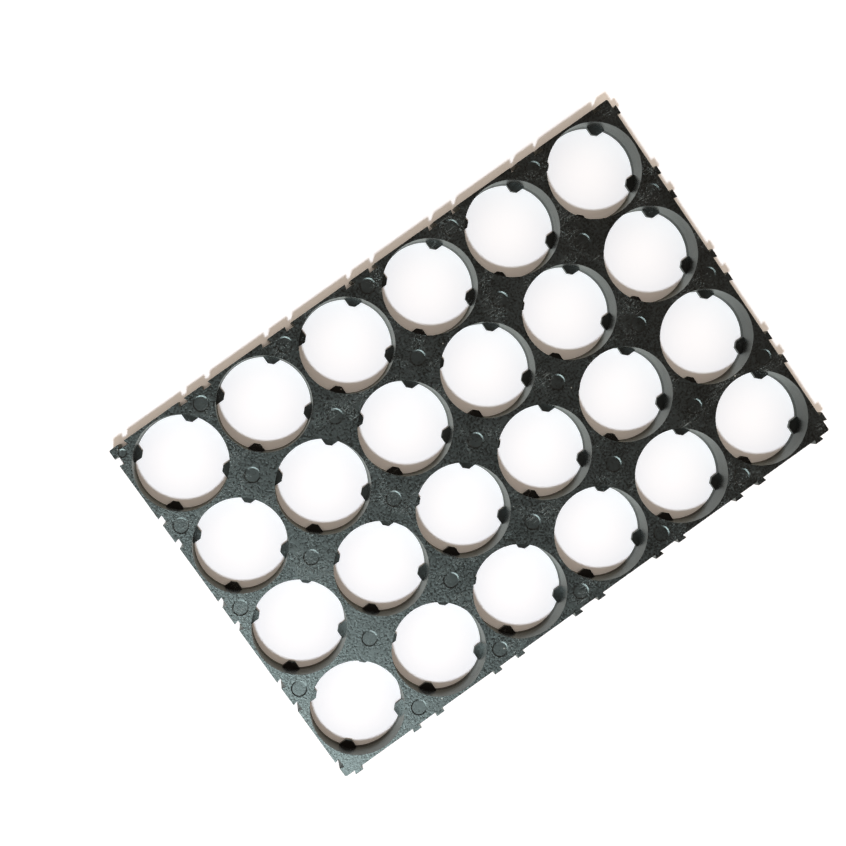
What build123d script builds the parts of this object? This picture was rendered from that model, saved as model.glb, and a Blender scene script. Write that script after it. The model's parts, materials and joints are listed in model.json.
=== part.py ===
"""Cell bracket: a moulded grid of open rings that holds one end of 24 round battery cells.

One injection-moulded piece. The cells drop in from the flat top face and stop on four small lips at the
bottom of each ring. Dovetail tabs on two sides slide into the notches of the next bracket, so that any
number of brackets join into a larger pack. The webs between the rings are cored out from below.
"""

import os

from build123d import *

# Driving dimensions, in millimetres
cells_long = 6  # cells along X
cells_wide = 4  # cells along Y
cell_diameter = 32.0  # nominal diameter of the round cell
cell_clearance = 0.2  # gap all round between a cell and its ring
bore_web = 1.6  # plastic between two neighbouring rings, where it is thinnest
height = 14.5

deck = 2.2  # flat top skin over the cored webs
ring_wall = 1.6  # wall left round each ring by the coring
rim_wall = 1.6  # wall left along the outline by the coring
core_span = 20.4  # flat to flat across the tips of a star-shaped core
outline_corner_radius = 0.6

lip_thickness = 2.0
lip_side = 9.0  # from the cell's axis to the straight sides of its lips
lip_chamfer = 1.5  # leg of the chamfer on the inner corner of a lip
foot_draw_in = 0.3  # a ring's wall leans in this far between its lips, which centres the cell on them

tab_reach = 1.5  # how far a dovetail tab stands out
tab_neck = 2.2
tab_tip = 3.2
tab_spacing = 9.6  # between the two tabs that sit either side of the line between two cells
tab_drop = 0.6  # from the top face down to the top of a tab
tab_clearance = 0.12  # gap all round between a tab and the notch that takes it

# Sizes that follow from them
bore_radius = cell_diameter / 2 + cell_clearance
pitch = 2 * bore_radius + bore_web
length = cells_long * pitch
width = cells_wide * pitch
notch_depth = tab_reach + tab_clearance


def steps(count, spacing):
    """Positions of a centred row of equally spaced things."""
    return [(i - (count - 1) / 2) * spacing for i in range(count)]


cell_x = steps(cells_long, pitch)
cell_y = steps(cells_wide, pitch)
cell_places = [Pos(x, y) for x in cell_x for y in cell_y]


def cell_opening():
    """What one cell's ring leaves open: a round bore that ends on four chamfered lips."""
    across_sides = 2 * lip_side
    across_chamfers = (across_sides + lip_chamfer) * 2**0.5
    cross = Rectangle(across_sides, 2 * bore_radius) + Rectangle(2 * bore_radius, across_sides)
    between_lips = cross + Rot(Z=45) * Rectangle(across_chamfers, across_chamfers)
    bottom_up = (Align.CENTER, Align.CENTER, Align.MIN)
    taper = Cone(bore_radius - foot_draw_in, bore_radius, lip_thickness, align=bottom_up)
    foot = taper & extrude(between_lips, lip_thickness)
    bore = Pos(Z=lip_thickness) * Cylinder(bore_radius, height - lip_thickness, align=bottom_up)
    return foot + bore


def dovetail(neck, tip, reach):
    """A dovetail that stands out from the Y axis towards +X."""
    return Polygon((0, -neck / 2), (reach, -tip / 2), (reach, tip / 2), (0, neck / 2), align=None)


def side_stations(cell_centres):
    """Where the dovetails sit along a side: two to each cell."""
    offset = (pitch - tab_spacing) / 2
    return [centre + side * offset for centre in cell_centres for side in (-1, 1)]


def joint_places(long_side_y, long_side_turn, short_side_x, short_side_turn):
    """The dovetail stations of one long and one short side, each turned to face outwards or inwards."""
    long_side = [Pos(x, long_side_y) * Rot(Z=long_side_turn) for x in side_stations(cell_x)]
    short_side = [Pos(short_side_x, y) * Rot(Z=short_side_turn) for y in side_stations(cell_y)]
    return long_side + short_side


def tabs():
    """Dovetail tabs on the front and right sides."""
    tab = dovetail(tab_neck, tab_tip, tab_reach)
    places = joint_places(-width / 2, -90, length / 2, 0)
    return extrude(Sketch() + [place * tab for place in places], height - tab_drop)


def notches():
    """Notches on the back and left sides, full height, that take a neighbour's tabs."""
    notch = dovetail(tab_neck + 2 * tab_clearance, tab_tip + 2 * tab_clearance, notch_depth)
    places = joint_places(width / 2, -90, -length / 2, 0)
    return extrude(Sketch() + [place * notch for place in places], height)


def cores():
    """Star-shaped hollows under the deck, between the ring walls and inside the rim."""
    web_x = steps(cells_long + 1, pitch)
    web_y = steps(cells_wide + 1, pitch)
    blocks = Sketch() + [Pos(x, y) * Rectangle(core_span, core_span) for x in web_x for y in web_y]
    inside = Rectangle(length - 2 * rim_wall - notch_depth, width - 2 * rim_wall - notch_depth)
    inside = Pos(notch_depth / 2, -notch_depth / 2) * inside
    stars = (blocks & inside) - [place * Circle(bore_radius + ring_wall) for place in cell_places]
    return extrude(stars, height - deck)


def bracket():
    """The whole bracket, standing on its lips' side with the origin under the middle of its box."""
    block = extrude(Rectangle(length, width), height)
    block = fillet(block.edges().filter_by(Axis.Z), outline_corner_radius)
    body = block + tabs()
    body -= notches()
    body -= cores()
    opening = cell_opening()
    body -= [place * opening for place in cell_places]
    return Pos(-tab_reach / 2, tab_reach / 2) * body


os.makedirs("parts", exist_ok=True)
cell_bracket = bracket()
cell_bracket.label = "cell_bracket"
export_step(cell_bracket, "parts/cell_bracket.step")
print(f"cell_bracket: {cell_bracket.volume / 1000:.1f} cm3")
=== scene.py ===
import json
import math

import bmesh
import bpy
from mathutils import Matrix, Vector


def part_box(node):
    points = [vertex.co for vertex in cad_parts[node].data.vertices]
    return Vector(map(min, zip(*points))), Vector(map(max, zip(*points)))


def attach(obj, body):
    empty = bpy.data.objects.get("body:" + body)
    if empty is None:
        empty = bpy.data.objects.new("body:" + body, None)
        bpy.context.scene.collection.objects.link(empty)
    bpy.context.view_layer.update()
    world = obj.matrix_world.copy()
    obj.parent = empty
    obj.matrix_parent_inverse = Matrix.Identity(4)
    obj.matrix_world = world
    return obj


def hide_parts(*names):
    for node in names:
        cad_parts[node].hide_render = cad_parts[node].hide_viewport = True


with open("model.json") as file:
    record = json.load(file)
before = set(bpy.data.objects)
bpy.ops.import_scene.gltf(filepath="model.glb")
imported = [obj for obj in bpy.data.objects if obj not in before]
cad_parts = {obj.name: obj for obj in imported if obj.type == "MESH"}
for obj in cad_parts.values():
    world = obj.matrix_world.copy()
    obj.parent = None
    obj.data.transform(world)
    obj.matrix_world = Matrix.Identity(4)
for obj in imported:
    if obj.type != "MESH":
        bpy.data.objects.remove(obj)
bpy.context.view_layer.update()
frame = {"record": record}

# ---------------------------------------------------------------------------------------------------------
# The bracket: one injection moulding in black styrene plastic. A plate of open rings, each with four small
# lips at its foot, dovetail tabs on the front and right sides, notches on the other two, and star-shaped
# hollows cored out from below. Its sharp upper edges are eased the way a worn steel mould leaves them.

MM = 0.001
low, high = (Vector(corner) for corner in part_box("cell_bracket"))
rings = [mount for mount in frame["record"]["mounts"] if mount["kind"] == "bore"]
cell_x = sorted({round(ring["pos_m"][0], 6) for ring in rings})
cell_y = sorted({round(ring["pos_m"][1], 6) for ring in rings})
pitch = cell_x[1] - cell_x[0]
bore_radius = rings[0]["dims"]["r_mm"] * MM
height = high.z
lip_top = height - rings[0]["dims"]["length_mm"] * MM
left, right = cell_x[0] - pitch / 2, cell_x[-1] + pitch / 2
front, back = cell_y[0] - pitch / 2, cell_y[-1] + pitch / 2
tab_reach = high.x - right


def between(start, stop, steps):
    return [start + (stop - start) * n / steps for n in range(steps)]


def add_prism(mesh, levels):
    """A closed solid through outlines of equal length, given from the bottom up as (height, points)."""
    loops = [[mesh.verts.new((x, y, z)) for x, y in points] for z, points in levels]
    count = len(loops[0])
    for lower, upper in zip(loops, loops[1:]):
        for n in range(count):
            m = (n + 1) % count
            mesh.faces.new((lower[n], lower[m], upper[m], upper[n]))
    mesh.faces.new(list(reversed(loops[0])))
    mesh.faces.new(loops[-1])


def moved(points, x, y):
    return [(px + x, py + y) for px, py in points]


def turned(points, quarter_turns):
    for _ in range(quarter_turns):
        points = [(-y, x) for x, y in points]
    return points


def solid(name, mesh):
    data = bpy.data.meshes.new(name)
    mesh.to_mesh(data)
    mesh.free()
    thing = bpy.data.objects.new(name, data)
    bpy.context.scene.collection.objects.link(thing)
    return thing


# The plate, with its four upright corners eased.
corner_radius = 0.6 * MM
corners = ((right, back), (left, back), (left, front), (right, front))
outline = []
for turn, (x, y) in enumerate(corners):
    away = turned([(corner_radius, corner_radius)], turn)[0]
    for angle in between(turn * 90, turn * 90 + 90, 9) + [turn * 90 + 90]:
        spread = math.radians(angle)
        eased_x = x - away[0] + corner_radius * math.cos(spread)
        outline.append((eased_x, y - away[1] + corner_radius * math.sin(spread)))
plate_mesh = bmesh.new()
add_prism(plate_mesh, [(0, outline), (height, outline)])
bracket = solid("bracket", plate_mesh)

# Dovetail tabs and the notches that take a neighbour's, two to each cell.
tab_neck, tab_tip, tab_drop, tab_gap = 2.2 * MM, 3.2 * MM, 0.6 * MM, 0.12 * MM
tab_spacing = 9.6 * MM
tab_offset = (pitch - tab_spacing) / 2
stations_x = [x + side * tab_offset for x in cell_x for side in (-1, 1)]
stations_y = [y + side * tab_offset for y in cell_y for side in (-1, 1)]


def dovetail(neck, tip, reach, root):
    """Seen from above, standing out towards +X, with a straight root behind it."""
    lower = [(-root, -neck / 2), (0, -neck / 2), (reach, -tip / 2)]
    return lower + [(x, -y) for x, y in reversed(lower)]


over = 1 * MM  # a cut starts and ends this far outside the plastic
tab_root = 0.3 * MM
tab = dovetail(tab_neck, tab_tip, tab_reach, tab_root)
notch = dovetail(tab_neck + 2 * tab_gap, tab_tip + 2 * tab_gap, tab_reach + tab_gap, over)
tab_mesh = bmesh.new()
cut_mesh = bmesh.new()
for x in stations_x:
    add_prism(tab_mesh, [(z, moved(turned(tab, 3), x, front)) for z in (0, height - tab_drop)])
    add_prism(cut_mesh, [(z, moved(turned(notch, 3), x, back)) for z in (-over, height + over)])
for y in stations_y:
    add_prism(tab_mesh, [(z, moved(tab, right, y)) for z in (0, height - tab_drop)])
    add_prism(cut_mesh, [(z, moved(notch, left, y)) for z in (-over, height + over)])

# What a ring leaves open: the bore, and below it the foot, which leans in a little between its four lips.
lip_side, lip_chamfer = 9.0 * MM, 1.5 * MM
foot_radius = bore_radius - 0.3 * MM
lip_ledge = 0.02 * MM  # keeps the foot's wall and the bore's from meeting in faces with no area
ring_steps = 96


def foot_reach(angle, radius):
    """How far the foot opening reaches from the cell's axis in one direction."""
    along, across = sorted((abs(math.cos(angle)), abs(math.sin(angle))))
    cross_reach = lip_side / along if along > 1e-9 else radius
    diamond_reach = (2 * lip_side + lip_chamfer) / (along + across)
    return min(radius, max(cross_reach, diamond_reach)) if lip_side < radius * along else radius


lip_corner = math.atan2(lip_side + lip_chamfer, lip_side)
wall_corners = [math.acos(lip_side / radius) for radius in (foot_radius, bore_radius)]
ring_angles = set()
for quarter in range(4):
    base = quarter * math.pi / 2
    for n in range(ring_steps // 4):
        ring_angles.add(round(base + n * 2 * math.pi / ring_steps, 6))
    for corner in (lip_corner, *wall_corners):
        ring_angles.add(round(base + corner, 6))
        ring_angles.add(round(base + math.pi / 2 - corner, 6))
ring_angles = sorted(ring_angles)


def round_outline(reach):
    return [(reach(a) * math.cos(a), reach(a) * math.sin(a)) for a in ring_angles]


bore_outline = round_outline(lambda a: bore_radius)
lip_outline = round_outline(lambda a: foot_reach(a, bore_radius - lip_ledge))
foot_outline = round_outline(lambda a: foot_reach(a, foot_radius))
for x in cell_x:
    for y in cell_y:
        levels = [(-over, foot_outline), (0, foot_outline), (lip_top, lip_outline), (lip_top, bore_outline)]
        levels.append((height + over, bore_outline))
        add_prism(cut_mesh, [(z, moved(points, x, y)) for z, points in levels])

# Star-shaped hollows under the deck, between the ring walls and inside the rim.
deck, ring_wall, rim_wall, core_half_span = 2.2 * MM, 1.6 * MM, 1.6 * MM, 10.2 * MM
core_left, core_right = left + rim_wall + tab_reach + tab_gap, right - rim_wall
core_front, core_back = front + rim_wall, back - rim_wall - tab_reach - tab_gap
wall_radius = bore_radius + ring_wall
web_x = [left + n * pitch for n in range(len(cell_x) + 1)]
web_y = [front + n * pitch for n in range(len(cell_y) + 1)]
middle_inset = 0.5 * MM  # a cut-off hollow's middle lies this far inside its sides
core_steps = 240


def core_reach(cx, cy, sides, angle):
    """How far a star-shaped core reaches from its middle before it meets a side or a ring wall."""
    dx, dy = math.cos(angle), math.sin(angle)
    x0, x1, y0, y1 = sides
    reach = 1.0
    if abs(dx) > 1e-9:
        reach = min(reach, ((x1 if dx > 0 else x0) - cx) / dx)
    if abs(dy) > 1e-9:
        reach = min(reach, ((y1 if dy > 0 else y0) - cy) / dy)
    for x in cell_x:
        for y in cell_y:
            along = (x - cx) * dx + (y - cy) * dy
            aside = (x - cx) * dy - (y - cy) * dx
            if along > 0 and abs(aside) < wall_radius:
                reach = min(reach, along - math.sqrt(wall_radius**2 - aside**2))
    return reach


for x in web_x:
    for y in web_y:
        x0, x1 = max(x - core_half_span, core_left), min(x + core_half_span, core_right)
        y0, y1 = max(y - core_half_span, core_front), min(y + core_half_span, core_back)
        cx = min(max(x, x0 + middle_inset), x1 - middle_inset)
        cy = min(max(y, y0 + middle_inset), y1 - middle_inset)
        points = []
        for angle in between(0, 2 * math.pi, core_steps):
            reach = core_reach(cx, cy, (x0, x1, y0, y1), angle)
            points.append((cx + reach * math.cos(angle), cy + reach * math.sin(angle)))
        add_prism(cut_mesh, [(-over, points), (height - deck, points)])

# Shallow round dimples with sloping rims that the ejector pins leave in the top face, one at each web, and
# a thin pin's in the corner.
pin_radius, pin_rim, pin_depth, pin_inset = 2.35 * MM, 0.45 * MM, 0.13 * MM, 4.8 * MM
thin_pin_radius, thin_pin_inset = 1.1 * MM, 3.2 * MM
pins = [(x, y, pin_radius) for x in web_x[1:-1] for y in [front + pin_inset, *web_y[1:-1], back - pin_inset]]
pins += [(x, y, pin_radius) for x in (left + pin_inset, right - pin_inset) for y in web_y[1:-1]]
pins.append((left + thin_pin_inset, back - thin_pin_inset, thin_pin_radius))
circle = [(math.cos(a), math.sin(a)) for a in between(0, 2 * math.pi, 40)]
for x, y, radius in pins:
    levels = [(height + n * pin_depth, radius + (n + 1) * pin_rim) for n in (-1, 0, 1)]
    add_prism(cut_mesh, [(z, moved([(r * px, r * py) for px, py in circle], x, y)) for z, r in levels])

cutters = solid("cutters", cut_mesh)
tabs = solid("tabs", tab_mesh)
for tool, operation in ((tabs, "UNION"), (cutters, "DIFFERENCE")):
    step = bracket.modifiers.new(operation, "BOOLEAN")
    step.operation = operation
    step.object = tool
    step.solver = "MANIFOLD"
bpy.context.view_layer.update()
shaped = bpy.data.meshes.new_from_object(bracket.evaluated_get(bpy.context.evaluated_depsgraph_get()))
bracket.modifiers.clear()
for tool in (tabs, cutters):
    bpy.data.objects.remove(tool)

# The top face's edges are eased all round, at rings, pin marks and notches, and the bottom's half as much.
edge_ease = 0.22 * MM
sharp_enough = math.radians(40)
level_with = 0.01 * MM
eased = bmesh.new()
eased.from_mesh(shaped)
bmesh.ops.remove_doubles(eased, verts=eased.verts, dist=1e-6)
bmesh.ops.dissolve_degenerate(eased, edges=eased.edges, dist=1e-6)
bevel_weight = eased.edges.layers.float.new("bevel_weight_edge")
for edge in eased.edges:
    if len(edge.link_faces) != 2 or edge.calc_face_angle(0) < sharp_enough:
        continue
    heights = [vert.co.z for vert in edge.verts]
    if min(heights) > height - level_with:
        edge[bevel_weight] = 1.0
    elif max(heights) < level_with:
        edge[bevel_weight] = 0.5
eased.to_mesh(shaped)
eased.free()
bracket.data = shaped
ease = bracket.modifiers.new("eased edges", "BEVEL")
ease.limit_method = "WEIGHT"
ease.width = edge_ease
ease.segments = 2
ease.use_clamp_overlap = True
for polygon in shaped.polygons:
    polygon.use_smooth = True
shaped.set_sharp_from_angle(angle=math.radians(12))
flats = bracket.modifiers.new("true flats", "WEIGHTED_NORMAL")
flats.keep_sharp = True
flats.weight = 80
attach(bracket, "root")
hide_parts("cell_bracket")


# ---------------------------------------------------------------------------------------------------------
# The plastic: black and semi-gloss. The deck has the mottled grain of a spark-eroded mould face, with scuffs
# and a little dust from handling, and pale specks painted into its colour as painted glints on that grain.
# Ring walls and lip tops come off polished steel and have no grain, and the floors of the pins' dimples have
# less of it.


class Level:
    """A shader socket that takes part in sums: each sum adds its Math node."""

    def __init__(self, finish, socket):
        self.finish = finish
        self.socket = socket

    def maths(self, operation, *values):
        return self.finish.node("ShaderNodeMath", {"operation": operation}, values)

    def __add__(self, other):
        return self.maths("ADD", self, other)

    def __sub__(self, other):
        return self.maths("SUBTRACT", self, other)

    def __rsub__(self, other):
        return self.maths("SUBTRACT", other, self)

    def __mul__(self, other):
        return self.maths("MULTIPLY", self, other)

    __radd__ = __add__
    __rmul__ = __mul__


class Finish:
    """The shader of a material or a world. node() makes any node from its type, settings and sockets."""

    def __init__(self, owner):
        owner.use_nodes = True
        self.tree = owner.node_tree
        self.tree.nodes.clear()

    def node(self, kind, settings=None, sockets=(), output=0):
        node = self.tree.nodes.new(kind)
        for name, setting in (settings or {}).items():
            setattr(node, name, setting)
        chosen = sockets.items() if isinstance(sockets, dict) else enumerate(sockets)
        for name, value in chosen:
            if isinstance(value, Level):
                self.tree.links.new(value.socket, node.inputs[name])
            else:
                node.inputs[name].default_value = value
        return Level(self, node.outputs[output]) if node.outputs else None

    def ramp(self, level, start, stop):
        """0 up to start, 1 from stop, and a straight rise between them."""
        sockets = {"Value": level, "From Min": start, "From Max": stop}
        return self.node("ShaderNodeMapRange", {"clamp": True}, sockets)

    def blend(self, factor, first, second):
        return self.node("ShaderNodeMix", {"data_type": "RGBA"}, {0: factor, 6: first, 7: second}, output=2)

    def noise(self, place, per_metre, detail=2.0, roughness=0.5):
        sockets = {"Vector": place, "Scale": per_metre, "Detail": detail, "Roughness": roughness}
        return self.node("ShaderNodeTexNoise", {}, sockets)

    def hairlines(self, place, turn, length, gap, share):
        """Thin scratches in one direction, broken into lengths."""
        rotation, scale = (0, 0, math.radians(turn)), (1 / length, 1 / gap, 1 / gap)
        sockets = {"Vector": place, "Rotation": rotation, "Scale": scale}
        along = self.node("ShaderNodeMapping", {"vector_type": "POINT"}, sockets)
        return self.ramp(self.noise(along, 1.0, 1.0), 1 - share, 1.05 - share)


def black_plastic(name, deck_grain, deck_roughness):
    """deck_grain is how much of the spark-eroded texture the upward faces have."""
    material = bpy.data.materials.new(name)
    plastic = Finish(material)
    place = plastic.node("ShaderNodeTexCoord", output=3)
    facing = plastic.node("ShaderNodeNewGeometry", output=1)
    upward = plastic.ramp(plastic.node("ShaderNodeSeparateXYZ", {}, {"Vector": facing}, output=2), 0.6, 0.98)
    grain = plastic.ramp(plastic.noise(place, 1250, 3.0, 0.62), 0.30, 0.72)
    sparkle = plastic.ramp(plastic.noise(place, 2600, 1.0), 0.60, 0.74)
    clouds = plastic.ramp(plastic.noise(place, 170, 3.0, 0.55), 0.32, 0.70)
    flow = plastic.noise(place, 38, 2.0)
    # Patches of the upward faces that carry both the real scuffs and the painted glint specks.
    scuff_and_glint_patches = plastic.ramp(plastic.noise(place, 75, 3.0, 0.6), 0.50, 0.60) * upward
    scuffs = plastic.hairlines(place, 20, 6 * MM, 0.24 * MM, 0.30)
    scuffs += plastic.hairlines(place, -52, 5 * MM, 0.22 * MM, 0.29)
    scuffs += plastic.hairlines(place, 83, 8 * MM, 0.26 * MM, 0.28)
    scuffs *= scuff_and_glint_patches
    # Fine pale specks inside those patches: painted glints, light caught by the grain and painted into the
    # colour.
    painted_glint_specks = sparkle * scuff_and_glint_patches
    dust_cells = {"Vector": place, "Scale": 330.0, "Randomness": 1.0}
    dust_near = plastic.node("ShaderNodeTexVoronoi", {"feature": "F1"}, dust_cells)
    dust_pick = plastic.node("ShaderNodeTexVoronoi", {"feature": "F1"}, dust_cells, output=1)
    dust_pick = plastic.node("ShaderNodeSeparateColor", {}, {"Color": dust_pick})
    dust = plastic.ramp(dust_near, 0.10, 0.05) * plastic.ramp(dust_pick, 0.93, 0.94)

    colour = plastic.blend(clouds, (0.0050, 0.0047, 0.0036, 1), (0.0098, 0.0098, 0.0084, 1))
    # The pale grey goes on the real scuffs and on the painted glint specks.
    colour = plastic.blend(scuffs * 0.5 + painted_glint_specks * 0.5, colour, (0.22, 0.24, 0.23, 1))
    colour = plastic.blend(dust, colour, (0.40, 0.40, 0.36, 1))
    texture = grain * deck_grain * upward
    wall_roughness = 0.20
    roughness = wall_roughness + upward * (deck_roughness - wall_roughness)
    roughness += texture * 0.30 + clouds * 0.08 + scuffs * 0.10
    relief = texture * 0.9 + flow * 3.0 + painted_glint_specks * 1.3
    bump = plastic.node("ShaderNodeBump", {}, {"Height": relief, "Strength": 1.0, "Distance": 0.03 * MM})
    gloss = 0.55 + (grain - 0.45) * deck_grain * upward * 1.2
    shell = plastic.node("ShaderNodeBsdfPrincipled", {}, {
        "Base Color": colour,
        "Roughness": roughness,
        "IOR": 1.38,
        "Coat Weight": plastic.node("ShaderNodeClamp", {}, {"Value": gloss}),
        "Coat Roughness": 0.26,
        "Normal": bump,
        "Coat Normal": bump,
    })
    plastic.node("ShaderNodeOutputMaterial", {}, {"Surface": shell})
    return material


bracket.data.materials.clear()
bracket.data.materials.append(black_plastic("black_plastic", 1.0, 0.12))
bracket.data.materials.append(black_plastic("black_plastic_pin_marks", 0.4, 0.22))
bracket.data.materials.append(black_plastic("black_plastic_lips", 0.0, 0.14))
for polygon in bracket.data.polygons:
    if abs(polygon.center.z - (height - pin_depth)) < 1e-6:
        polygon.material_index = 1
    if abs(polygon.center.z - lip_top) < 0.05 * MM:
        polygon.material_index = 2

# ---------------------------------------------------------------------------------------------------------
# The table: a pale sheet that reads as white to the camera and as duller card in the plastic's reflections.

table_mesh = bmesh.new()
half = 3.0
table_corners = ((-half, -half), (half, -half), (half, half), (-half, half))
table_mesh.faces.new([table_mesh.verts.new((x, y, 0)) for x, y in table_corners])
table = solid("table", table_mesh)
card_material = bpy.data.materials.new("pale_card")
card = Finish(card_material)
seen = card.node("ShaderNodeLightPath", output=0)
card_seen = card.node("ShaderNodeBsdfDiffuse", {}, {"Color": (1.15, 1.15, 1.15, 1)})
card_lit = card.node("ShaderNodeBsdfDiffuse", {}, {"Color": (0.58, 0.61, 0.57, 1)})
card_both = card.node("ShaderNodeMixShader", {}, (seen, card_lit, card_seen))
card.node("ShaderNodeOutputMaterial", {}, {"Surface": card_both})
table.data.materials.append(card_material)

# ---------------------------------------------------------------------------------------------------------
# Studio light: a soft panel above the front left, whose reflection lies on that half of the deck, and a
# smaller lamp beside it that draws the shadows. The room is warm, dim where the plastic mirrors it, and white
# where the camera sees it past the table.


def lamp(name, at, towards, side, watts, tint):
    light = bpy.data.lights.new(name, "AREA")
    light.size = side
    light.energy = watts
    light.color = tint
    thing = bpy.data.objects.new(name, light)
    thing.location = at
    thing.rotation_euler = (Vector(towards) - Vector(at)).to_track_quat("-Z", "Y").to_euler()
    bpy.context.scene.collection.objects.link(thing)
    return thing


panel = lamp("soft_panel", (-0.49, -0.33, 0.95), (-0.20, -0.18, 0.0), 0.62, 19.0, (0.78, 1.0, 1.0))
panel.visible_diffuse = False
key = lamp("key_lamp", (-0.26, -0.15, 1.1), (0, 0, 0), 0.06, 7.2, (0.93, 1.0, 1.10))
key.visible_glossy = False
room = bpy.data.worlds.new("room")
bpy.context.scene.world = room
air = Finish(room)
mirrored = air.node("ShaderNodeLightPath", output=3)
strength = 0.70 - mirrored * 0.58
warm_air = air.node("ShaderNodeBackground", {}, {"Color": (1.0, 0.84, 0.70, 1), "Strength": strength})
backdrop = air.node("ShaderNodeBackground", {}, {"Color": (1, 1, 1, 1), "Strength": 1.0})
watched = air.node("ShaderNodeLightPath", output=0)
sky = air.node("ShaderNodeMixShader", {}, (watched, warm_air, backdrop))
air.node("ShaderNodeOutputWorld", {}, {"Surface": sky})
bpy.context.scene.view_settings.view_transform = "Standard"

# ---------------------------------------------------------------------------------------------------------
# The camera looks almost straight down, turned so that the bracket lies cornerwise across the view.

lens_per_sensor = 2.0021
eye = Vector((-48.89, 57.19, 582.67)) * MM
sight = Vector((0.0325, -0.1044, -0.9940)).normalized()
upwards = Vector((0.57979, 0.81206, -0.06633))
side = sight.cross(upwards).normalized()
upwards = side.cross(sight)
lens = bpy.data.cameras.new("camera")
lens.sensor_width = 36.0
lens.lens = lens.sensor_width * lens_per_sensor
lens.shift_x, lens.shift_y = 0.0156, 0.0897
camera = bpy.data.objects.new("camera", lens)
turn = Matrix((side, upwards, -sight)).transposed()
camera.matrix_world = Matrix.Translation(eye) @ turn.to_4x4()
bpy.context.scene.collection.objects.link(camera)
bpy.context.scene.camera = camera
